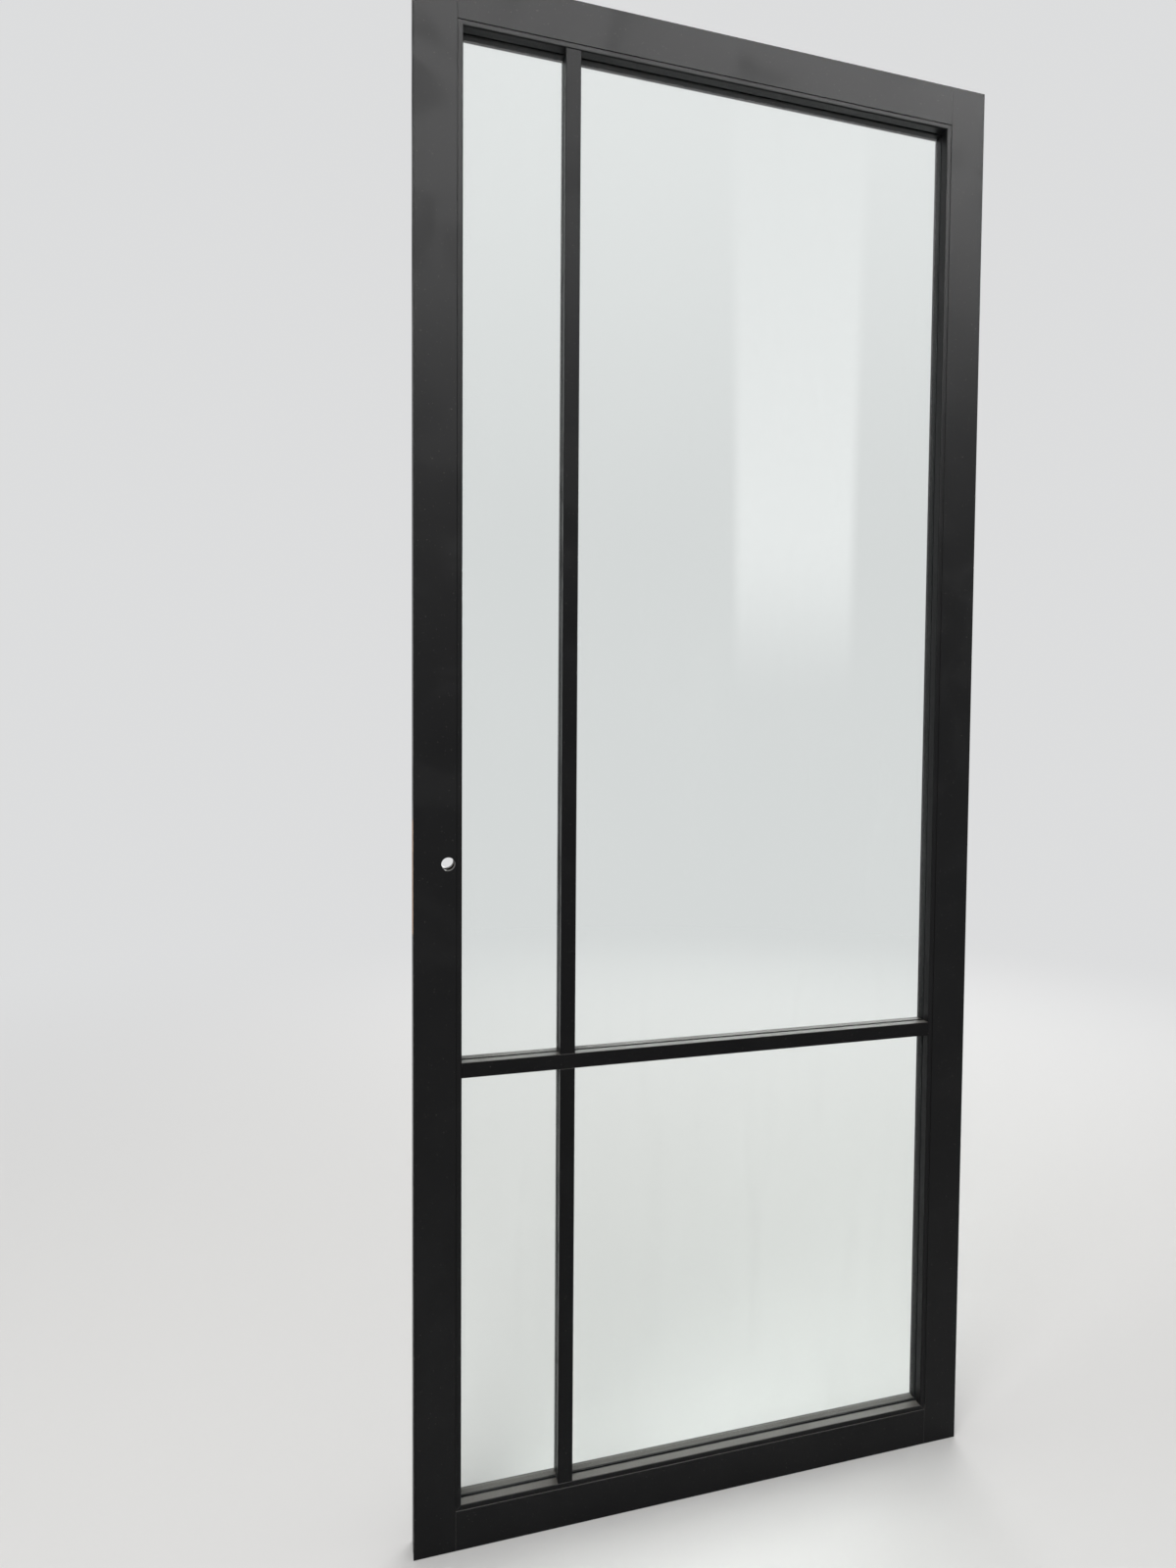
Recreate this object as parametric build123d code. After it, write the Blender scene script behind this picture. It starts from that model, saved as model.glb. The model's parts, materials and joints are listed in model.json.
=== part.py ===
from build123d import *
import os
from math import ceil

# A tall interior door leaf glazed from top to bottom, in the manner of a steel window. Two
# stiles and two rails of lacquered board, dowelled at the corners, carry one clear pane.
# The pane lies in tape against a lip at the rear, mitred beads close the rebate at the front,
# and slim bars taped to both faces of the pane divide it into four lights.
# X runs across the leaf as seen from the front, Y from the front face to the rear one, Z up.
# The origin is the middle of the bottom edge. All sizes are millimetres.

# Leaf
LEAF_WIDTH = 930.0
LEAF_HEIGHT = 2315.0
LEAF_THICKNESS = 40.0
EDGE_RADIUS = 1.5

# Stiles and rails: each has a core, and a lip at the rear that the pane lies against
STILE_WIDTH = 70.0
TOP_RAIL_WIDTH = 70.0
BOTTOM_RAIL_WIDTH = 70.0
LIP_THICKNESS = 15.0
LIP_RADIUS = 1.0
JOINT_CHAMFER = 0.4

# Corner dowels, two in each joint
DOWEL_DIAMETER = 10.0
DOWEL_LENGTH = 80.0
DOWEL_SPACING = 30.0
DOWEL_CHAMFER = 1.0
DOWEL_GLUE_GAP = 0.1
DOWEL_END_GAP = 1.0

# Pane and its bedding
GLASS_THICKNESS = 6.0
GLASS_ARRIS = 0.5
GLASS_EDGE_GAP = 3.0
TAPE_THICKNESS = 2.0
TAPE_RECESS = 0.5
BLOCK_CLEARANCE = 0.5
SETTING_BLOCK_LENGTH = 100.0
SETTING_BLOCK_PLACES = (1 / 4, 3 / 4)
LOCATION_BLOCK_LENGTH = 60.0
LOCATION_BLOCK_PLACES = (1 / 6, 5 / 6)

# Glazing beads, set back a little from the face and pinned with brads under filler
BEAD_WIDTH = 8.0
BEAD_SETBACK = 1.0
BEAD_RADIUS = 2.0
BRAD_LENGTH = 20.0
BRAD_WIDTH = 1.2
BRAD_THICKNESS = 1.0
BRAD_HEAD_WIDTH = 2.0
BRAD_HEAD_HEIGHT = 0.8
BRAD_TIP_LENGTH = 1.5
BRAD_CLEARANCE = 0.05
BRAD_COVER = 1.0
BRAD_PITCH = 300.0
BRAD_CORNER_DISTANCE = 60.0

# Bars on both faces of the pane: one goes right across, two uprights butt on it
BAR_WIDTH = 23.0
BAR_SETBACK = 1.5
BAR_RADIUS = 1.0
BAR_TAPE_THICKNESS = 1.0
BAR_TAPE_INSET = 2.0
CROSS_BAR_HEIGHT = 736.5
UPRIGHT_BAR_FROM_EDGE = 230.0

# Lock preparation: a spindle hole, a pocket for the lock case and a recess for its faceplate
LOCK_BACKSET = 50.0
SPINDLE_HEIGHT = 1046.0
SPINDLE_HOLE_DIAMETER = 20.0
FACEPLATE_LENGTH = 174.0
FACEPLATE_WIDTH = 20.0
FACEPLATE_DEPTH = 3.0
FACEPLATE_DROP = 20.0
LOCK_POCKET_LENGTH = 136.0
LOCK_POCKET_WIDTH = 16.0
LOCK_POCKET_BACK_WALL = 2.0

# Planes through the leaf, from the front face to the rear one
FRONT = -LEAF_THICKNESS / 2
REAR = LEAF_THICKNESS / 2
LIP_FRONT = REAR - LIP_THICKNESS
GLASS_REAR = LIP_FRONT - TAPE_THICKNESS
GLASS_FRONT = GLASS_REAR - GLASS_THICKNESS
BEAD_REAR = GLASS_FRONT - TAPE_THICKNESS
BEAD_FRONT = FRONT + BEAD_SETBACK
BEAD_MIDDLE = (BEAD_FRONT + BEAD_REAR) / 2
FRONT_BAR_FRONT = FRONT + BAR_SETBACK
FRONT_BAR_REAR = GLASS_FRONT - BAR_TAPE_THICKNESS
REAR_BAR_FRONT = GLASS_REAR + BAR_TAPE_THICKNESS
REAR_BAR_REAR = REAR - BAR_SETBACK

# Outlines seen from the front: half width, bottom and top
EDGE_X = LEAF_WIDTH / 2
SIGHT_X = EDGE_X - STILE_WIDTH
SIGHT_LOW = BOTTOM_RAIL_WIDTH
SIGHT_HIGH = LEAF_HEIGHT - TOP_RAIL_WIDTH
REBATE_X = SIGHT_X + BEAD_WIDTH
REBATE_LOW = SIGHT_LOW - BEAD_WIDTH
REBATE_HIGH = SIGHT_HIGH + BEAD_WIDTH
GLASS_X = REBATE_X - GLASS_EDGE_GAP
GLASS_LOW = REBATE_LOW + GLASS_EDGE_GAP
GLASS_HIGH = REBATE_HIGH - GLASS_EDGE_GAP
UPRIGHT_BAR_X = UPRIGHT_BAR_FROM_EDGE - EDGE_X
CROSS_BAR_LOW = CROSS_BAR_HEIGHT - BAR_WIDTH / 2
CROSS_BAR_HIGH = CROSS_BAR_HEIGHT + BAR_WIDTH / 2
SPINDLE_X = LOCK_BACKSET - EDGE_X

SIDES = ("left", "top", "right", "bottom")

# Where the bars run, from their start to their end, as X and Z
BAR_RUNS = {
    "cross_bar": ((-SIGHT_X, CROSS_BAR_HEIGHT), (SIGHT_X, CROSS_BAR_HEIGHT)),
    "upper_bar": ((UPRIGHT_BAR_X, CROSS_BAR_HIGH), (UPRIGHT_BAR_X, SIGHT_HIGH)),
    "lower_bar": ((UPRIGHT_BAR_X, SIGHT_LOW), (UPRIGHT_BAR_X, CROSS_BAR_LOW)),
}


def block(x_range, y_range, z_range):
    """A square-edged block between three pairs of limits."""
    size = [high - low for low, high in (x_range, y_range, z_range)]
    middle = [(high + low) / 2 for low, high in (x_range, y_range, z_range)]
    return Pos(*middle) * Box(*size)


def side_plane(side, half_width, low, high):
    """The start of one side of a frame: X points into the opening, Y to the rear, Z along."""
    starts = {
        "left": ((-half_width, 0, low), (1, 0, 0), (0, 0, 1)),
        "top": ((-half_width, 0, high), (0, 0, -1), (1, 0, 0)),
        "right": ((half_width, 0, high), (-1, 0, 0), (0, 0, -1)),
        "bottom": ((half_width, 0, low), (0, 0, 1), (-1, 0, 0)),
    }
    origin, inwards, along = starts[side]
    return Plane(origin=origin, x_dir=inwards, z_dir=along)


def rebate_side(side):
    """The plane and the length of one side of the rebate."""
    plane = side_plane(side, REBATE_X, REBATE_LOW, REBATE_HIGH)
    upright = side in ("left", "right")
    length = REBATE_HIGH - REBATE_LOW if upright else 2 * REBATE_X
    return plane, length


def leaf_envelope():
    """The whole leaf as a slab, with the edges of both faces eased."""
    slab = block((-EDGE_X, EDGE_X), (FRONT, REAR), (0, LEAF_HEIGHT))
    return fillet(slab.faces().filter_by(Axis.Y).edges(), EDGE_RADIUS)


def member_section(width):
    """Section of a stile or rail, from its outer edge at X 0 to the lip at the sight line."""
    core = width - BEAD_WIDTH
    outline = Polyline(
        (0, FRONT),
        (core, FRONT),
        (core, LIP_FRONT),
        (width, LIP_FRONT),
        (width, REAR),
        (0, REAR),
        close=True,
    )
    section = make_face(outline)
    lip_corner = section.vertices().group_by(Axis.X)[-1].sort_by(Axis.Y)[-1]
    section = fillet(lip_corner, LIP_RADIUS)
    core_corner = section.vertices().group_by(Axis.Y)[0].sort_by(Axis.X)[-1]
    return chamfer(core_corner, JOINT_CHAMFER)


def dowel_places(side, rail_width):
    """Centres of the two dowels between the top or bottom rail and the stile on one side."""
    x = -REBATE_X if side == "left" else REBATE_X
    y = (FRONT + LIP_FRONT) / 2
    middle = (rail_width - BEAD_WIDTH) / 2
    return [(x, y, middle + step * DOWEL_SPACING / 2) for step in (-1, 1)]


def corner_dowels(side, rail_width, at_top, radial_gap=0.0, end_gap=0.0):
    """The dowels of one corner, or the holes that take them when the gaps are given."""
    radius = DOWEL_DIAMETER / 2 + radial_gap
    dowels = []
    for x, y, z in dowel_places(side, rail_width):
        height = LEAF_HEIGHT - z if at_top else z
        rod = Rot(0, 90, 0) * Cylinder(radius, DOWEL_LENGTH + 2 * end_gap)
        if not end_gap:
            rod = chamfer(rod.edges().filter_by(GeomType.CIRCLE), DOWEL_CHAMFER)
        dowels.append(Pos(x, y, height) * rod)
    return dowels


def dowel_holes(side, rail_width, at_top):
    return corner_dowels(side, rail_width, at_top, DOWEL_GLUE_GAP, DOWEL_END_GAP)


def brad_steps(length):
    """Distances of the brads along one side of the rebate."""
    span = length - 2 * BRAD_CORNER_DISTANCE
    gaps = ceil(span / BRAD_PITCH)
    return [BRAD_CORNER_DISTANCE + span * step / gaps for step in range(gaps + 1)]


def brad_outline():
    """A brad lying along X, flat like its wire: a chisel tip, a shank and a small T head."""
    head = BEAD_WIDTH - BRAD_COVER
    neck = head - BRAD_HEAD_HEIGHT
    tip = head - BRAD_LENGTH
    upper_half = [
        (tip, 0),
        (tip + BRAD_TIP_LENGTH, BRAD_WIDTH / 2),
        (neck, BRAD_WIDTH / 2),
        (neck, BRAD_HEAD_WIDTH / 2),
        (head, BRAD_HEAD_WIDTH / 2),
    ]
    lower_half = [(along, -across) for along, across in reversed(upper_half[1:])]
    return make_face(Polyline(*upper_half, *lower_half, close=True))


def brads(side, clearance=0.0):
    """The brads through one bead into the core behind it, or their holes with a clearance."""
    plane, length = rebate_side(side)
    outline = brad_outline()
    if clearance:
        outline = offset(outline, clearance, kind=Kind.INTERSECTION)
    brad = extrude(Plane.XZ * outline, BRAD_THICKNESS / 2 + clearance, both=True)
    return [plane * (Pos(0, BEAD_MIDDLE, step) * brad) for step in brad_steps(length)]


def brad_holes(side):
    return brads(side, BRAD_CLEARANCE)


def stile(side):
    """A stile runs the whole height, past the ends of both rails."""
    plane = side_plane(side, EDGE_X, 0, LEAF_HEIGHT)
    blank = plane * extrude(member_section(STILE_WIDTH), LEAF_HEIGHT, dir=(0, 0, 1))
    holes = dowel_holes(side, BOTTOM_RAIL_WIDTH, False) + dowel_holes(side, TOP_RAIL_WIDTH, True)
    return (blank & leaf_envelope()) - holes - brad_holes(side)


def lock_preparation():
    """What is milled out of the lock stile: faceplate recess, case pocket and spindle hole."""
    faceplate_height = SPINDLE_HEIGHT - FACEPLATE_DROP
    edge = Plane(origin=(-EDGE_X, 0, faceplate_height), x_dir=(0, 0, 1), z_dir=(1, 0, 0))
    recess = extrude(edge * SlotOverall(FACEPLATE_LENGTH, FACEPLATE_WIDTH), FACEPLATE_DEPTH)
    pocket_depth = STILE_WIDTH - BEAD_WIDTH - LOCK_POCKET_BACK_WALL
    pocket = extrude(edge * SlotOverall(LOCK_POCKET_LENGTH, LOCK_POCKET_WIDTH), pocket_depth)
    drill = Rot(90, 0, 0) * Cylinder(SPINDLE_HOLE_DIAMETER / 2, LEAF_THICKNESS)
    return [recess, pocket, Pos(SPINDLE_X, 0, SPINDLE_HEIGHT) * drill]


def rail(side, width):
    """A rail between the stiles, its ends stepped round their lips."""
    plane = side_plane(side, REBATE_X, 0, LEAF_HEIGHT)
    blank = plane * extrude(member_section(width), 2 * REBATE_X, dir=(0, 0, 1))
    at_top = side == "top"
    height_range = (LEAF_HEIGHT - width, LEAF_HEIGHT) if at_top else (0, width)
    steps = [
        block(x_range, (LIP_FRONT, REAR), height_range)
        for x_range in ((-REBATE_X, -SIGHT_X), (SIGHT_X, REBATE_X))
    ]
    holes = dowel_holes("left", width, at_top) + dowel_holes("right", width, at_top)
    return (blank & leaf_envelope()) - steps - holes - brad_holes(side)


def glass_pane():
    """One pane, its edges ground to a fine arris."""
    pane = block((-GLASS_X, GLASS_X), (GLASS_FRONT, GLASS_REAR), (GLASS_LOW, GLASS_HIGH))
    return chamfer(pane.faces().filter_by(Axis.Y).edges(), GLASS_ARRIS)


def glazing_tape(y_range):
    """Four strips on one face of the pane, just short of the sight line."""
    inner_x = SIGHT_X + TAPE_RECESS
    inner_low = SIGHT_LOW - TAPE_RECESS
    inner_high = SIGHT_HIGH + TAPE_RECESS
    return [
        block((-GLASS_X, -inner_x), y_range, (GLASS_LOW, GLASS_HIGH)),
        block((inner_x, GLASS_X), y_range, (GLASS_LOW, GLASS_HIGH)),
        block((-inner_x, inner_x), y_range, (GLASS_LOW, inner_low)),
        block((-inner_x, inner_x), y_range, (inner_high, GLASS_HIGH)),
    ]


def edge_blocks(side, length, places):
    """Blocks in the gap round the pane, at the given shares of the length of one side."""
    plane, run = rebate_side(side)
    depth_range = (BEAD_REAR + BLOCK_CLEARANCE, LIP_FRONT - BLOCK_CLEARANCE)
    blocks = []
    for place in places:
        along = (run * place - length / 2, run * place + length / 2)
        blocks.append(plane * block((0, GLASS_EDGE_GAP), depth_range, along))
    return blocks


def glazing_bead(side):
    """A bead with one round arris towards the pane, mitred at both ends."""
    plane, length = rebate_side(side)
    outline = Polyline(
        (0, BEAD_FRONT),
        (BEAD_WIDTH, BEAD_FRONT),
        (BEAD_WIDTH, BEAD_REAR),
        (0, BEAD_REAR),
        close=True,
    )
    section = make_face(outline)
    front_corners = section.vertices().group_by(Axis.Y)[0].sort_by(Axis.X)
    section = fillet(front_corners[-1], BEAD_RADIUS)
    section = chamfer(section.vertices().group_by(Axis.Y)[0].sort_by(Axis.X)[0], JOINT_CHAMFER)
    blank = extrude(section, length, dir=(0, 0, 1))
    mitres = Polyline(
        (0, 0),
        (BEAD_WIDTH, BEAD_WIDTH),
        (BEAD_WIDTH, length - BEAD_WIDTH),
        (0, length),
        close=True,
    )
    wedge = extrude(Plane.XZ * make_face(mitres), LEAF_THICKNESS / 2, both=True)
    return (plane * (blank & wedge)) - brad_holes(side)


def bar_section(depth):
    """Section of a bar, its back on X, with the two front arrises rounded."""
    section = Pos(0, -depth / 2) * Rectangle(BAR_WIDTH, depth)
    return fillet(section.vertices().group_by(Axis.Y)[0], BAR_RADIUS)


def bar(start, end, glass_side, face):
    """A bar from start to end in the plane of the pane, from its tape out to the given face."""
    run = Vector(end[0] - start[0], 0, end[1] - start[1])
    out = 1 if face > glass_side else -1
    back = Plane(
        origin=(start[0], glass_side, start[1]),
        x_dir=run.normalized().cross(Vector(0, out, 0)),
        z_dir=run,
    )
    # the section grows towards its own -Y, which is the way out of the pane
    return back * extrude(bar_section(abs(face - glass_side)), run.length, dir=(0, 0, 1))


def bar_tape(start, end, y_range):
    """The tape under a bar, a little smaller than the bar all round."""
    half = BAR_WIDTH / 2 - BAR_TAPE_INSET
    if start[0] == end[0]:
        x_range = (start[0] - half, start[0] + half)
        z_range = (start[1] + BAR_TAPE_INSET, end[1] - BAR_TAPE_INSET)
    else:
        x_range = (start[0] + BAR_TAPE_INSET, end[0] - BAR_TAPE_INSET)
        z_range = (start[1] - half, start[1] + half)
    return block(x_range, y_range, z_range)


def build_leaf():
    """Every piece of the leaf by its name."""
    pieces = {
        "lock_stile": stile("left") - lock_preparation(),
        "hinge_stile": stile("right"),
        "top_rail": rail("top", TOP_RAIL_WIDTH),
        "bottom_rail": rail("bottom", BOTTOM_RAIL_WIDTH),
        "dowels_top_left": corner_dowels("left", TOP_RAIL_WIDTH, True),
        "dowels_top_right": corner_dowels("right", TOP_RAIL_WIDTH, True),
        "dowels_bottom_left": corner_dowels("left", BOTTOM_RAIL_WIDTH, False),
        "dowels_bottom_right": corner_dowels("right", BOTTOM_RAIL_WIDTH, False),
        "glass_pane": glass_pane(),
        "glazing_tape_front": glazing_tape((BEAD_REAR, GLASS_FRONT)),
        "glazing_tape_rear": glazing_tape((GLASS_REAR, LIP_FRONT)),
        "setting_blocks": edge_blocks("bottom", SETTING_BLOCK_LENGTH, SETTING_BLOCK_PLACES),
        "location_blocks": [
            piece
            for side in ("left", "right", "top")
            for piece in edge_blocks(side, LOCATION_BLOCK_LENGTH, LOCATION_BLOCK_PLACES)
        ],
        "bead_brads": [brad for side in SIDES for brad in brads(side)],
    }
    for side in SIDES:
        pieces[f"glazing_bead_{side}"] = glazing_bead(side)
    for name, (start, end) in BAR_RUNS.items():
        pieces[f"front_{name}"] = bar(start, end, FRONT_BAR_REAR, FRONT_BAR_FRONT)
        pieces[f"rear_{name}"] = bar(start, end, REAR_BAR_FRONT, REAR_BAR_REAR)
        pieces[f"front_{name}_tape"] = bar_tape(start, end, (FRONT_BAR_REAR, GLASS_FRONT))
        pieces[f"rear_{name}_tape"] = bar_tape(start, end, (GLASS_REAR, REAR_BAR_FRONT))
    return pieces


os.makedirs("parts", exist_ok=True)
for name, piece in build_leaf().items():
    shape = Compound(piece) if isinstance(piece, list) else piece
    export_step(shape, f"parts/{name}.step")
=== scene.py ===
import json
import math

import bmesh
import bpy
from mathutils import Euler, Matrix, Vector


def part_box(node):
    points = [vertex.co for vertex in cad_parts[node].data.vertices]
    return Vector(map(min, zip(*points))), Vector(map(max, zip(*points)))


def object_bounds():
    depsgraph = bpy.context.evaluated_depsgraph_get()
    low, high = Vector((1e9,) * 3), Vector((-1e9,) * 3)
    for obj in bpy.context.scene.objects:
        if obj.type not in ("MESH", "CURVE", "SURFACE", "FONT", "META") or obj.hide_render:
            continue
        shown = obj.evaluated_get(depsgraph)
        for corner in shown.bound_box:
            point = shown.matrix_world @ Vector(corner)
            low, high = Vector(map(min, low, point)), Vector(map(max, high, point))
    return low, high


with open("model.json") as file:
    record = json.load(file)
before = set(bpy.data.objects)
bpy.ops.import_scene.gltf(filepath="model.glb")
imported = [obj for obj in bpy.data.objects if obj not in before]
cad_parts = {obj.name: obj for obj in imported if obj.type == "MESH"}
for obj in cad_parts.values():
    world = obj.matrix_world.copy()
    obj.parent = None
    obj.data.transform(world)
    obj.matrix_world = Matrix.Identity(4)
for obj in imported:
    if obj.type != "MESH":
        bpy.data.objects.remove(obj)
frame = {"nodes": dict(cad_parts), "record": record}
cad_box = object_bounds()

# Stiles and rails.
# The real ones are medium-density board, shaped on a spindle moulder and dowelled at the corners.
# They are sprayed with a satin black lacquer, which is smooth but for a faint orange peel.
LACQUER_BLACK = (0.0034, 0.0035, 0.0039, 1)
LACQUER_CLOUD = (0.0060, 0.0060, 0.0063, 1)
LACQUER_ROUGHNESS = 0.28
LACQUER_SHINE = 0.12
CLOUDS_PER_METRE = 9
CLOUD_ROUGHNESS = 0.14
SMUDGE_RANGE = (0.50, 0.66)
SMUDGE_ROUGHNESS = 0.08
PEEL_PER_METRE = 330
PEEL_DEPTH = 0.016
SPECKS_PER_METRE = 520
SPECK_RANGE = (0.755, 0.80)
SPECK_COVER = 0.22
DUST = (0.34, 0.32, 0.29, 1)
DUST_PER_METRE = 900
DUST_RANGE = (0.35, 0.65)
DUST_SLOPE = (0.70, 0.98)
DUST_GAPS = 0.38
# Dust on the upward faces, heavier than dust alone: partly a painted highlight on the tops.
DUST_AND_TOP_LIGHT_COVER = 0.30
DUST_DULLING = 0.4
DUST_ROUGHNESS = 0.20
ARRIS_WIDTH = 0.0016
RUBBED_GREY = (0.060, 0.056, 0.052, 1)
RUBS_PER_METRE = 140
RUB_RANGE = (0.52, 0.70)
RUB_COVER = 0.5
RUB_ROUGHNESS = 0.12
JOINT_GREY = (0.066, 0.063, 0.060, 1)
JOINT_COVER = 0.8
JOINT_WIDTH = 0.0005
JOINT_DEPTH = 0.15
RAIL_MARGIN = 0.001
MILLIMETRE = 0.001


class Wire:
    """An output in a node tree. Sums on wires add Math nodes."""

    def __init__(self, board, socket):
        self.board = board
        self.socket = socket

    def sum(self, operation, first, second=0.0):
        return self.board.node("Math", {"operation": operation}, {0: first, 1: second})

    def __add__(self, other):
        return self.sum("ADD", self, other)

    def __mul__(self, other):
        return self.sum("MULTIPLY", self, other)

    def __sub__(self, other):
        return self.sum("SUBTRACT", self, other)

    def __rsub__(self, other):
        return self.sum("SUBTRACT", other, self)

    def __pow__(self, other):
        return self.sum("POWER", self, other)

    def __mod__(self, other):
        return self.sum("FLOORED_MODULO", self, other)

    def __abs__(self):
        return self.sum("ABSOLUTE", self)

    __radd__ = __add__
    __rmul__ = __mul__

    def highest(self, other):
        return self.sum("MAXIMUM", self, other)

    def rises(self, start, end):
        """0 below start and 1 above end, or the other way round where end is lower."""
        settings = {"interpolation_type": "SMOOTHSTEP"}
        limits = {"Value": self, "From Min": start, "From Max": end}
        return self.board.node("MapRange", settings, limits)


class Board:
    """A node tree that a finish is wired up on."""

    def __init__(self, tree):
        self.tree = tree
        self.tree.nodes.clear()

    def node(self, kind, settings, sockets, output=0):
        made = self.tree.nodes.new("ShaderNode" + kind)
        for key, value in settings.items():
            setattr(made, key, value)
        for key, value in sockets.items():
            if isinstance(value, Wire):
                self.tree.links.new(value.socket, made.inputs[key])
            else:
                made.inputs[key].default_value = value
        if output is None:
            return made
        return Wire(self, made.outputs[output])

    def place(self, kind="Object"):
        """Coordinates as a vector, and as X, Y and Z."""
        vector = self.node("TexCoord", {}, {}, kind)
        return vector, [self.node("SeparateXYZ", {}, {"Vector": vector}, axis) for axis in "XYZ"]

    def stretched(self, vector, scale, turn=(0, 0, 0)):
        """Coordinates for a pattern that is longer along an axis where the scale is under 1."""
        sockets = {"Vector": vector, "Rotation": turn, "Scale": scale}
        return self.node("Mapping", {"vector_type": "POINT"}, sockets)

    def noise(self, vector, scale, detail, distortion=0.0):
        sockets = {"Vector": vector, "Scale": scale, "Detail": detail, "Distortion": distortion}
        return self.node("TexNoise", {}, sockets, "Fac")

    def colours(self, share, low, high):
        """A mix of two colours or of two wired colours."""
        return self.node("Mix", {"data_type": "RGBA"}, {0: share, 6: low, 7: high}, 2)

    def bump(self, height):
        """A normal for a relief that is given in millimetres."""
        return self.node("Bump", {}, {"Height": height, "Strength": 1.0, "Distance": MILLIMETRE})

    def show(self, surface, kind="Material"):
        self.node("Output" + kind, {}, {"Surface": surface}, None)


def finish(name):
    """A new material and the board for its nodes."""
    material = bpy.data.materials.new(name)
    material.use_nodes = True
    return material, Board(material.node_tree)


def coat_with(material, *names):
    """Puts one material on all the slots of the named pieces."""
    for name in names:
        slots = frame["nodes"][name].material_slots
        for slot in slots:
            slot.material = material


def lacquer(name, rubbed=None, joined=None, sunk=None, bare=None, shine=LACQUER_SHINE):
    """Satin black lacquer, with wear, hairlines, dimples or bare board where they are given."""
    material, board = finish(name)
    vector, (x, y, z) = board.place()
    normal = board.node("NewGeometry", {}, {}, "Normal")
    upwards = board.node("SeparateXYZ", {}, {"Vector": normal}, "Z")

    cloud = board.noise(vector, CLOUDS_PER_METRE, detail=4.0, distortion=0.6)
    smudge = cloud.rises(*SMUDGE_RANGE)
    speck = board.noise(vector, SPECKS_PER_METRE, detail=1.0).rises(*SPECK_RANGE)
    grains = board.noise(vector, DUST_PER_METRE, detail=5.0).rises(*DUST_RANGE)
    settled_dust_and_top_light = upwards.rises(*DUST_SLOPE) * (1 - DUST_GAPS + DUST_GAPS * grains)
    dulled = (DUST_DULLING * settled_dust_and_top_light).highest(speck)

    colour = board.colours(cloud, LACQUER_BLACK, LACQUER_CLOUD)
    colour = board.colours(SPECK_COVER * speck, colour, DUST)
    # Dust on the upward faces lightens the tops. It is partly real dust and partly a painted
    # highlight.
    colour = board.colours(DUST_AND_TOP_LIGHT_COVER * settled_dust_and_top_light, colour, DUST)
    rough = LACQUER_ROUGHNESS + CLOUD_ROUGHNESS * cloud + SMUDGE_ROUGHNESS * smudge
    rough = rough + DUST_ROUGHNESS * dulled
    relief = PEEL_DEPTH * (board.noise(vector, PEEL_PER_METRE, detail=2.0) + speck)
    if rubbed:
        rubs = board.noise(vector, RUBS_PER_METRE, detail=6.0).rises(*RUB_RANGE)
        worn = rubbed(x, y, z) * rubs
        colour = board.colours(RUB_COVER * worn, colour, RUBBED_GREY)
        rough = rough + RUB_ROUGHNESS * worn
    if joined:
        line = joined(x, y, z)
        colour = board.colours(JOINT_COVER * line, colour, JOINT_GREY)
        relief = relief - JOINT_DEPTH * line
    if sunk:
        relief = relief - sunk(x, y, z)
    sockets = {
        "Base Color": colour,
        "Roughness": rough,
        "Specular IOR Level": shine,
        "Normal": board.bump(relief),
    }
    surface = board.node("BsdfPrincipled", {}, sockets)
    if bare:
        share, raw = bare(board, vector, x, y, z)
        surface = board.node("MixShader", {}, {0: share, 1: surface, 2: raw})
    board.show(surface)
    return material


def leaf_arrises(x, y, z):
    """The eased edges of both faces, where handling rubs first."""
    half_width, half_depth = cad_box[1].x, cad_box[1].y
    middle = cad_box[1].z / 2
    out = abs(x).rises(half_width - ARRIS_WIDTH, half_width - ARRIS_WIDTH / 2)
    ends = abs(z - middle).rises(middle - ARRIS_WIDTH, middle - ARRIS_WIDTH / 2)
    deep = abs(y).rises(half_depth - ARRIS_WIDTH, half_depth - ARRIS_WIDTH / 2)
    return out.highest(ends) * deep


def corner_joints(x, y, z):
    """Hairlines in the lacquer where the ends of the rails meet the stiles."""
    rail_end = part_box("top_rail")[1].x
    rail_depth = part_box("bottom_rail")[1].z
    middle = cad_box[1].z / 2
    across_rail = abs(z - middle).rises(middle - rail_depth - RAIL_MARGIN, middle - rail_depth)
    return abs(abs(x) - rail_end).rises(JOINT_WIDTH, 0.0) * across_rail


PLAIN_MEMBERS = ("hinge_stile", "top_rail", "bottom_rail")
frame_lacquer = lacquer("frame_lacquer", rubbed=leaf_arrises, joined=corner_joints)
coat_with(frame_lacquer, *PLAIN_MEMBERS)

# Lock stile.
# It is bored for the spindle before it is sprayed. The faceplate recess and the lock pocket are
# milled after, so their board is bare. Deep in the pocket the board is painted near black, as
# painted shade.
BOARD_TAN = (0.58, 0.38, 0.235, 1)
BOARD_BROWN = (0.40, 0.25, 0.145, 1)
POCKET_PAINTED_SHADE = (0.030, 0.018, 0.010, 1)
BOARD_ROUGHNESS = 0.86
BOARD_SHINE = 0.2
FIBRES_PER_METRE = 1500
FIBRE_SCALE = (1, 1, 0.55)
FIBRE_RANGE = (0.25, 0.60)
FIBRE_DEPTH = 0.15
FLECKS_PER_METRE = 700
FLECK_RANGE = (0.60, 0.72)
FLECK_COVER = 0.45
POCKET_SHADE_START = 0.012
POCKET_SHADE_END = 0.034
RECESS_BELOW_SPINDLE = 0.020
RECESS_LENGTH = 0.174
RECESS_WIDTH = 0.020
RECESS_DEPTH = 0.003
POCKET_LENGTH = 0.136
POCKET_WIDTH = 0.016
POCKET_DEPTH = 0.060
MASK_MARGIN = 0.0001
MASK_SOFTNESS = 0.00004


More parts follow.
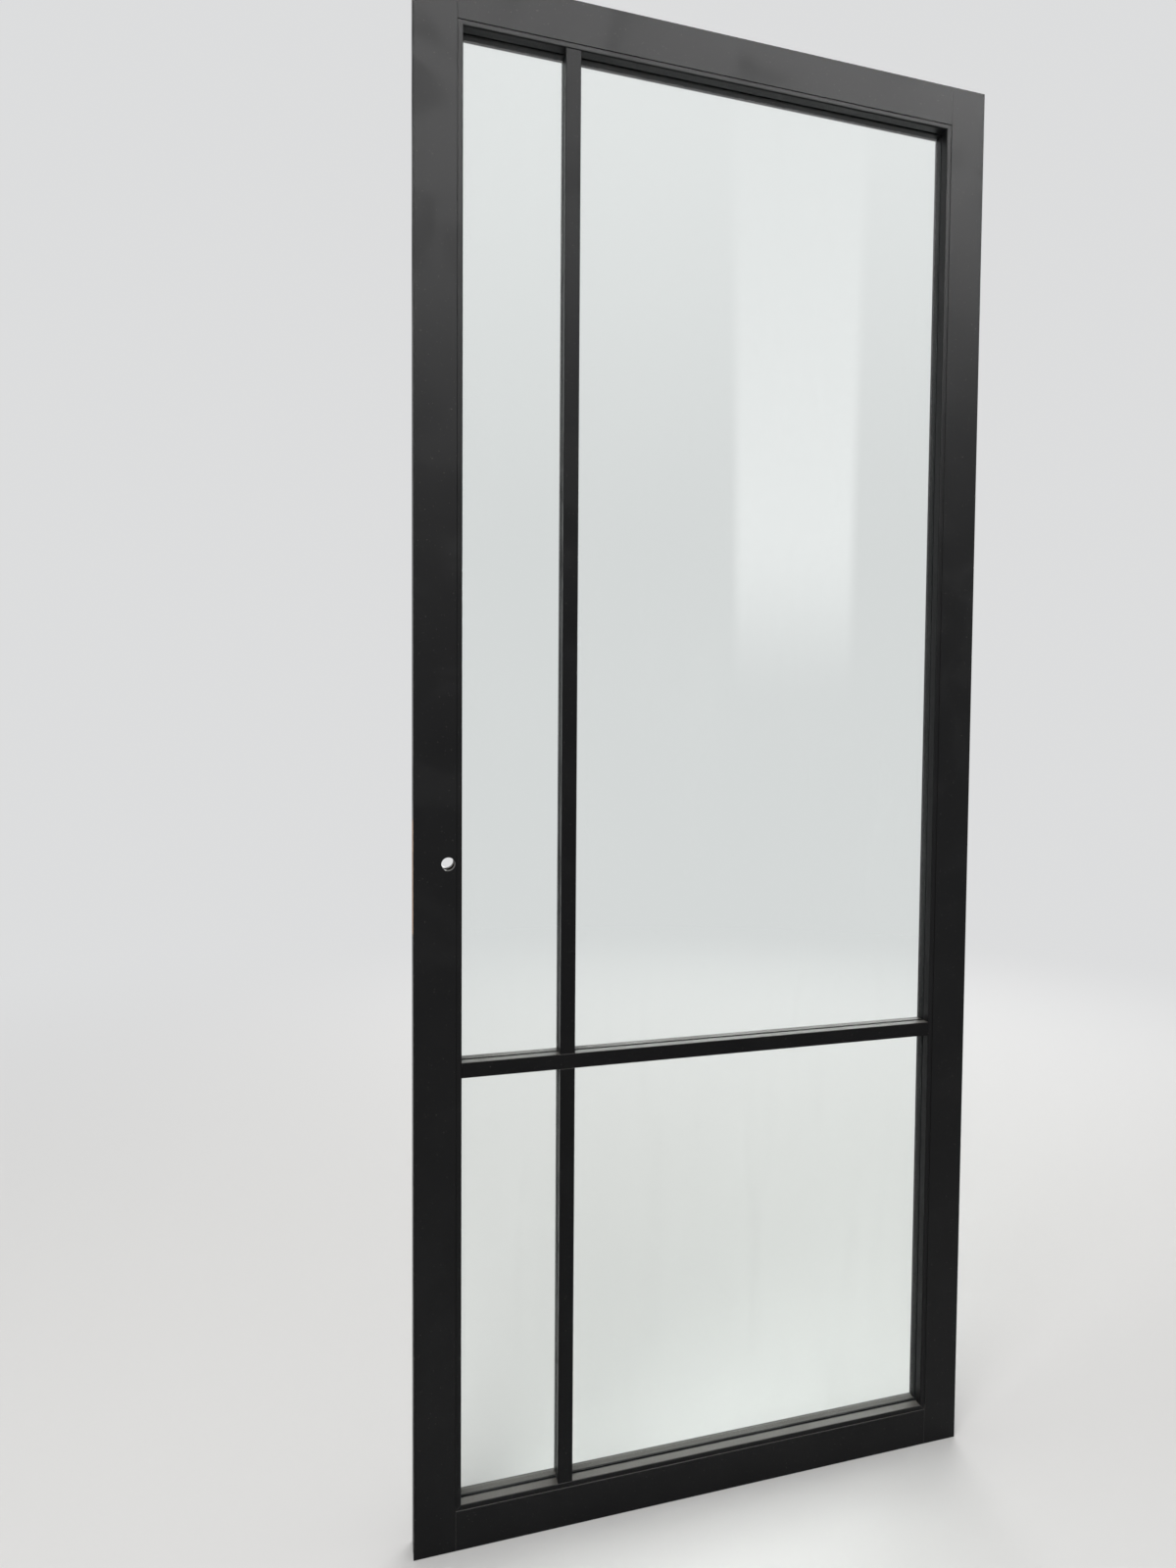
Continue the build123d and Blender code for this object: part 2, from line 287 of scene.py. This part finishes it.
def bare_board(board, vector, x):
    """Milled board: fine tan fibres with darker flecks, and painted shade where x is deep in the
    leaf.
    """
    fibres = board.noise(board.stretched(vector, FIBRE_SCALE), FIBRES_PER_METRE, detail=5.0)
    flecks = board.noise(vector, FLECKS_PER_METRE, detail=3.0).rises(*FLECK_RANGE)
    colour = board.colours(fibres.rises(*FIBRE_RANGE), BOARD_BROWN, BOARD_TAN)
    colour = board.colours(FLECK_COVER * flecks, colour, BOARD_BROWN)
    # Painted shade: the board turns near black towards the deep end of the pocket, where shade
    # falls.
    deep = x.rises(cad_box[0].x + POCKET_SHADE_START, cad_box[0].x + POCKET_SHADE_END)
    colour = board.colours(deep, colour, POCKET_PAINTED_SHADE)
    sockets = {
        "Base Color": colour,
        "Roughness": BOARD_ROUGHNESS,
        "Specular IOR Level": BOARD_SHINE,
        "Normal": board.bump(FIBRE_DEPTH * fibres),
    }
    return board.node("BsdfPrincipled", {}, sockets)


def milled_hollows(x, y, z):
    """1 inside the faceplate recess and the lock pocket."""
    edge = cad_box[0].x
    spindle = next(mount for mount in frame["record"]["mounts"] if mount["name"] == "spindle_hole")
    along = abs(z - (spindle["pos_m"][2] - RECESS_BELOW_SPINDLE))
    across = abs(y)

    def within(value, reach):
        limit = reach + MASK_MARGIN
        return value.rises(limit, limit - MASK_SOFTNESS)

    def hollow(length, width, depth):
        return within(along, length / 2) * within(across, width / 2) * within(x, edge + depth)

    below_edge = x.rises(edge + MASK_SOFTNESS, edge + 2 * MASK_SOFTNESS)
    recess = hollow(RECESS_LENGTH, RECESS_WIDTH, RECESS_DEPTH)
    pocket = hollow(POCKET_LENGTH, POCKET_WIDTH, POCKET_DEPTH)
    return recess.highest(pocket) * below_edge


def milled_board(board, vector, x, y, z):
    """Where the board is bare, and how it looks there."""
    return milled_hollows(x, y, z), bare_board(board, vector, x)


lock_lacquer = lacquer("lock_stile_lacquer", leaf_arrises, corner_joints, bare=milled_board)
coat_with(lock_lacquer, "lock_stile")

# Corner dowels.
# Turned beech pins with chamfered ends, two in each corner. They are glued into the stile and
# into the end of the rail, and don't show once the leaf is together.
BEECH_PALE = (0.72, 0.50, 0.31, 1)
BEECH_DARK = (0.55, 0.34, 0.19, 1)
BEECH_ROUGHNESS = 0.55
GRAIN_PER_METRE = 700
GRAIN_SCALE = (0.06, 1, 1)
GRAIN_ROUGHNESS = 0.15
GRAIN_DEPTH = 0.06
RAYS_PER_METRE = 1600
RAY_SCALE = (0.25, 1, 1)
RAY_RANGE = (0.62, 0.70)
RAY_COVER = 0.6


def beech():
    material, board = finish("dowel_beech")
    vector, _ = board.place()
    grain = board.noise(board.stretched(vector, GRAIN_SCALE), GRAIN_PER_METRE, detail=4.0)
    rays = board.noise(board.stretched(vector, RAY_SCALE), RAYS_PER_METRE, detail=1.0)
    colour = board.colours(grain, BEECH_DARK, BEECH_PALE)
    colour = board.colours(RAY_COVER * rays.rises(*RAY_RANGE), colour, BEECH_DARK)
    sockets = {
        "Base Color": colour,
        "Roughness": BEECH_ROUGHNESS + GRAIN_ROUGHNESS * grain,
        "Normal": board.bump(GRAIN_DEPTH * grain),
    }
    board.show(board.node("BsdfPrincipled", {}, sockets))
    return material


DOWEL_CORNERS = ("top_left", "top_right", "bottom_left", "bottom_right")
coat_with(beech(), *[f"dowels_{corner}" for corner in DOWEL_CORNERS])

# Pane.
# One sheet of clear safety glass, the whole size of the opening, with ground edges hidden in the
# rebate. It is clean, apart from a faint haze and the streaks that a cloth leaves.
GLASS_TINT = (0.915, 0.945, 0.932, 1)
GLASS_INDEX = 1.52
VEIL_PALE = (0.80, 0.81, 0.80, 1)
HAZE_PER_METRE = 2.6
HAZE_RANGE = (0.40, 0.75)
HAZE_COVER = 0.010
STREAKS_PER_METRE = 16
STREAK_SLANT = math.radians(28)
STREAK_SCALE = (1, 1, 0.14)
STREAK_RANGE = (0.52, 0.75)
STREAK_COVER = 0.016
GRIT_PER_METRE = 360
GRIT_RANGE = (0.80, 0.84)
GRIT_COVER = 0.20


def clear_glass():
    material, board = finish("clear_glass")
    vector, _ = board.place()
    wiped = board.stretched(vector, STREAK_SCALE, (0, STREAK_SLANT, 0))
    streaks = board.noise(wiped, STREAKS_PER_METRE, detail=6.0, distortion=0.4)
    haze = board.noise(vector, HAZE_PER_METRE, detail=5.0, distortion=0.8)
    grit = board.noise(vector, GRIT_PER_METRE, detail=1.0)
    veil = HAZE_COVER * haze.rises(*HAZE_RANGE) + STREAK_COVER * streaks.rises(*STREAK_RANGE)
    veil = veil + GRIT_COVER * grit.rises(*GRIT_RANGE)
    glass = {
        "Base Color": GLASS_TINT,
        "Roughness": 0.0,
        "IOR": GLASS_INDEX,
        "Transmission Weight": 1.0,
    }
    clear = board.node("BsdfPrincipled", {}, glass)
    veiled = board.node("BsdfDiffuse", {}, {"Color": VEIL_PALE})
    seen = board.node("MixShader", {}, {0: veil, 1: clear, 2: veiled})
    lit_through = board.node("BsdfTransparent", {}, {"Color": GLASS_TINT})
    for_lamps = board.node("LightPath", {}, {}, "Is Shadow Ray")
    board.show(board.node("MixShader", {}, {0: for_lamps, 1: seen, 2: lit_through}))
    return material


coat_with(clear_glass(), "glass_pane")

# Glazing tape and bar tape.
# Closed-cell foam strip, black, sticky on both sides. It beds the pane between lip and bead, and
# holds each bar to the glass. A matt black line of it shows along the sight line and the bars.
TAPE_BLACK = (0.012, 0.012, 0.013, 1)
TAPE_GREY = (0.030, 0.030, 0.031, 1)
TAPE_ROUGHNESS = 0.75
TAPE_SHINE = 0.3
MOTTLES_PER_METRE = 240
MOTTLE_ROUGHNESS = 0.2
CELLS_PER_METRE = 1500
CELL_DEPTH = 0.10


def foam_tape():
    material, board = finish("foam_tape")
    vector, _ = board.place()
    sockets = {"Vector": vector, "Scale": CELLS_PER_METRE}
    cells = board.node("TexVoronoi", {"feature": "F1"}, sockets, "Distance")
    mottle = board.noise(vector, MOTTLES_PER_METRE, detail=4.0)
    sockets = {
        "Base Color": board.colours(mottle, TAPE_BLACK, TAPE_GREY),
        "Roughness": TAPE_ROUGHNESS + MOTTLE_ROUGHNESS * mottle,
        "Specular IOR Level": TAPE_SHINE,
        "Normal": board.bump(CELL_DEPTH * cells),
    }
    board.show(board.node("BsdfPrincipled", {}, sockets))
    return material


BAR_RUNS = ("cross_bar", "upper_bar", "lower_bar")
BAR_NAMES = [f"{face}_{run}" for face in ("front", "rear") for run in BAR_RUNS]
bar_tapes = [f"{name}_tape" for name in BAR_NAMES]
coat_with(foam_tape(), "glazing_tape_front", "glazing_tape_rear", *bar_tapes)

# Setting and location blocks.
# Moulded grey plastic packers. Two under the pane carry its weight, and six at its sides and top
# centre it, so that glass never meets board.
PACKER_GREY = (0.075, 0.078, 0.082, 1)
PACKER_PALE = (0.120, 0.124, 0.130, 1)
PACKER_ROUGHNESS = 0.48
FLOWS_PER_METRE = 120
FLOW_SCALE = (1, 1, 0.3)
PITS_PER_METRE = 1200
PIT_ROUGHNESS = 0.12
PIT_DEPTH = 0.02


def packer_plastic():
    material, board = finish("packer_plastic")
    vector, _ = board.place()
    stretched = board.stretched(vector, FLOW_SCALE)
    flow = board.noise(stretched, FLOWS_PER_METRE, detail=3.0, distortion=0.5)
    pits = board.noise(vector, PITS_PER_METRE, detail=2.0)
    sockets = {
        "Base Color": board.colours(flow, PACKER_GREY, PACKER_PALE),
        "Roughness": PACKER_ROUGHNESS + PIT_ROUGHNESS * pits,
        "Normal": board.bump(PIT_DEPTH * pits),
    }
    board.show(board.node("BsdfPrincipled", {}, sockets))
    return material


coat_with(packer_plastic(), "setting_blocks", "location_blocks")

# Glazing beads.
# Slim board strips, mitred and pinned round the pane from the front, then filled and sprayed with
# the frame. A shallow dimple of filler is left over each brad, and a hairline at each mitre.
BRAD_FROM_CORNER = 0.060
BRAD_PITCH = 0.300
DIMPLE_RADIUS = 0.0018
DIMPLE_DEPTH = 0.12
SIGHT_MARGIN = 0.0015

bead_low, bead_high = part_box("glazing_bead_left")[0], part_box("glazing_bead_right")[1]


def bead_dimples(x, y, z):
    """The depth in millimetres of the filled mark over each brad."""

    def nearest(value, low, high):
        """How far the value is from the next brad of a bead from low to high."""
        start, end = low + BRAD_FROM_CORNER, high - BRAD_FROM_CORNER
        pitch = (end - start) / math.ceil((end - start) / BRAD_PITCH)
        return abs((value - (start - pitch / 2)) % pitch - pitch / 2)

    along_side = nearest(z, bead_low.z, bead_high.z)
    along_end = nearest(x, bead_low.x, bead_high.x)
    sight_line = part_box("glazing_bead_right")[0].x
    on_side = abs(x).rises(sight_line - SIGHT_MARGIN, sight_line - SIGHT_MARGIN / 3)
    along = along_end + on_side * (along_side - along_end)
    across = y - (bead_low.y + bead_high.y) / 2
    return DIMPLE_DEPTH * (along ** 2 + across ** 2).rises(DIMPLE_RADIUS ** 2, 0.0)


def bead_mitres(x, y, z):
    """Hairlines where the beads meet at the corners."""
    middle = (bead_low.z + bead_high.z) / 2
    corner = bead_high.x - (bead_high.z - middle)
    return abs(abs(x) - abs(z - middle) - corner).rises(JOINT_WIDTH, 0.0)


BEAD_NAMES = [f"glazing_bead_{side}" for side in ("left", "top", "right", "bottom")]
coat_with(lacquer("bead_lacquer", joined=bead_mitres, sunk=bead_dimples), *BEAD_NAMES)

# Brads.
# Flat zinc-plated wire pins with T heads. A nail gun drives them through the beads and sinks them
# a millimetre under the face.
ZINC_PALE = (0.62, 0.62, 0.60, 1)
ZINC_GREY = (0.42, 0.42, 0.42, 1)
ZINC_ROUGHNESS = 0.30
SPANGLES_PER_METRE = 1400
SPANGLE_ROUGHNESS = 0.20


def zinc_wire():
    material, board = finish("zinc_wire")
    vector, _ = board.place()
    spangle = board.noise(vector, SPANGLES_PER_METRE, detail=3.0)
    sockets = {
        "Base Color": board.colours(spangle, ZINC_GREY, ZINC_PALE),
        "Metallic": 1.0,
        "Roughness": ZINC_ROUGHNESS + SPANGLE_ROUGHNESS * spangle,
    }
    board.show(board.node("BsdfPrincipled", {}, sockets))
    return material


coat_with(zinc_wire(), "bead_brads")

# Bars.
# Slim strips, lacquered a little more matt than the frame and taped to both faces of the pane, so
# that they look like one bar right through it. The cross bar is whole and the uprights butt on it.
BAR_SHINE = 0.08
BAR_JOINT_WIDTH = 0.001
BAR_JOINT_MARGIN = 0.0002


def bar_joints(x, y, z):
    """Fine lines where the ends of the upright bars meet the cross bar."""
    cross_low, cross_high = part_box("front_cross_bar")
    upright_low, upright_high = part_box("front_upper_bar")
    middle = (cross_low.z + cross_high.z) / 2
    centre = (upright_low.x + upright_high.x) / 2
    half_width = (upright_high.x - upright_low.x) / 2
    line = abs(abs(z - middle) - (cross_high.z - middle)).rises(BAR_JOINT_WIDTH, 0.0)
    return line * abs(x - centre).rises(half_width + BAR_JOINT_MARGIN, half_width)


coat_with(lacquer("bar_lacquer", joined=bar_joints, shine=BAR_SHINE), *BAR_NAMES)

# Floor and backdrop.
# A plain pale studio floor. It is matt round the leaf, where it takes the shadow, and further out
# it fades into a backdrop of almost the same colour.
FLOOR_RADIUS = 12.0
FLOOR_SIDES = 128
FLOOR_PALE = (0.74, 0.735, 0.725, 1)
BACKDROP_PALE = (0.72, 0.725, 0.73, 1)
FADE_RANGE = (0.9, 4.6)

floor_mesh = bmesh.new()
bmesh.ops.create_circle(floor_mesh, cap_ends=True, segments=FLOOR_SIDES, radius=FLOOR_RADIUS)
floor = bpy.data.objects.new("studio_floor", bpy.data.meshes.new("studio_floor"))
floor_mesh.to_mesh(floor.data)
floor_mesh.free()
bpy.context.scene.collection.objects.link(floor)


def ray_kind(board, kind):
    return board.node("LightPath", {}, {}, f"Is {kind} Ray")


def direct_rays(board):
    """1 for what the camera sees, also in gloss and through glass, and 0 for light on its way."""
    kinds = ("Camera", "Glossy", "Transmission")
    camera, gloss, through = [ray_kind(board, kind) for kind in kinds]
    scattered = board.node("LightPath", {}, {}, "Diffuse Depth")
    return camera.highest(gloss).highest(through) * (1 - scattered).highest(0.0)


floor_finish, floor_board = finish("floor_finish")
_, (floor_x, floor_y, _) = floor_board.place()
away = (floor_x ** 2 + floor_y ** 2) ** 0.5
fade = away.rises(*FADE_RANGE) * direct_rays(floor_board)
painted = floor_board.node("BsdfDiffuse", {}, {"Color": FLOOR_PALE})
glowing = floor_board.node("Emission", {}, {"Color": BACKDROP_PALE})
floor_board.show(floor_board.node("MixShader", {}, {0: fade, 1: painted, 2: glowing}))
floor.data.materials.append(floor_finish)

# Light.
# A pale room, with a tall soft window and a soft panel in front. A large box high on the left is
# the key, a wide one behind lights the tops of the bars, and one high in front adds a sheen.
ROOM_LIGHT = 0.55
ROOM_WHITE = (1, 1, 1, 1)
IN_FRONT = (0.0, -0.3)
WINDOW_GLOW = (2.3, 2.3, 2.3, 1)
WINDOW_HEADING = math.radians(24.5)
WINDOW_SIDE = (0.064, 0.050)
WINDOW_FOOT = (0.02, 0.20)
PANEL_GLOW = (1.9, 1.9, 1.9, 1)
PANEL_FOOT = (0.15, 0.60)


def mirrored_rays(board):
    """1 for what a surface mirrors, and 0 for what shows straight through the pane."""
    mirrors_met = board.node("LightPath", {}, {}, "Glossy Depth")
    return ray_kind(board, "Glossy") * mirrors_met.rises(0.0, 1.0)


world = bpy.data.worlds.new("room")
world.use_nodes = True
bpy.context.scene.world = world
room = Board(world.node_tree)
_, (east, north, up) = room.place("Generated")
aside = abs(east * math.cos(WINDOW_HEADING) + north * math.sin(WINDOW_HEADING))
ahead = north.rises(*IN_FRONT)
window = aside.rises(*WINDOW_SIDE) * ahead * up.rises(*WINDOW_FOOT)
panel = ahead * up.rises(*PANEL_FOOT)
glow = room.colours(window, BACKDROP_PALE, WINDOW_GLOW)
glow = room.colours(panel, glow, PANEL_GLOW)
ambient = room.node("Background", {}, {"Color": ROOM_WHITE, "Strength": ROOM_LIGHT})
backdrop = room.node("Background", {}, {"Color": BACKDROP_PALE})
mirrored = room.node("Background", {}, {"Color": glow})
seen = room.node("MixShader", {}, {0: direct_rays(room), 1: ambient, 2: backdrop})
seen = room.node("MixShader", {}, {0: mirrored_rays(room), 1: seen, 2: mirrored})
room.show(seen, "World")


def soft_box(name, place, width, height, power):
    """A rectangular lamp that faces the leaf. It shows in the lacquer's gloss, not in the glass."""
    lamp = bpy.data.lights.new(name, "AREA")
    lamp.shape = "RECTANGLE"
    lamp.size = width
    lamp.size_y = height
    lamp.energy = power
    lamp.cycles.use_multiple_importance_sampling = False
    holder = bpy.data.objects.new(name, lamp)
    aim = Vector((0, 0, cad_box[1].z / 2)) - Vector(place)
    holder.location = place
    holder.rotation_euler = aim.to_track_quat("-Z", "Y").to_euler()
    bpy.context.scene.collection.objects.link(holder)
    return holder


def gloss_only(lamp, names):
    """Keeps a lamp to the gloss of the named pieces, so that it lights nothing else."""
    pieces = bpy.data.collections.new(lamp.name + "_pieces")
    for name in names:
        pieces.objects.link(frame["nodes"][name])
    lamp.light_linking.receiver_collection = pieces
    lamp.visible_diffuse = False


soft_box("key_light", place=(-2.4, -2.9, 3.4), width=2.4, height=2.4, power=105)
soft_box("back_light", place=(2.4, 4.3, 2.4), width=4.8, height=2.0, power=150)
sheen_light = soft_box("sheen_light", place=(1.2, -3.5, 5.0), width=6.5, height=3.0, power=540)
gloss_only(sheen_light, ["lock_stile", *PLAIN_MEMBERS, *BEAD_NAMES, *BAR_NAMES])

# Camera.
# It is held at chest height, about a metre and a half in front of the leaf's left edge.
FOCAL_PIXELS = 995.6
PHOTO_LONG_SIDE = 1600
PHOTO_CENTRE = (600, 800)
OPTICAL_CENTRE = (673.1, 785.6)
SENSOR = 36
EYE = (-0.5324, -1.4719, 1.2461)
HEADING = math.radians(-16.85)
PITCH = math.radians(-2.35)
ROLL = math.radians(0.564)

lens = bpy.data.cameras.new("camera")
lens.sensor_width = SENSOR
lens.lens = FOCAL_PIXELS / PHOTO_LONG_SIDE * SENSOR
lens.shift_x = (PHOTO_CENTRE[0] - OPTICAL_CENTRE[0]) / PHOTO_LONG_SIDE
lens.shift_y = (OPTICAL_CENTRE[1] - PHOTO_CENTRE[1]) / PHOTO_LONG_SIDE
camera = bpy.data.objects.new("camera", lens)
camera.location = EYE
turn = Euler((math.pi / 2 + PITCH, 0, HEADING)).to_matrix() @ Matrix.Rotation(ROLL, 3, "Z")
camera.rotation_euler = turn.to_euler()
bpy.context.scene.collection.objects.link(camera)
bpy.context.scene.camera = camera
bpy.context.scene.view_settings.view_transform = "Standard"
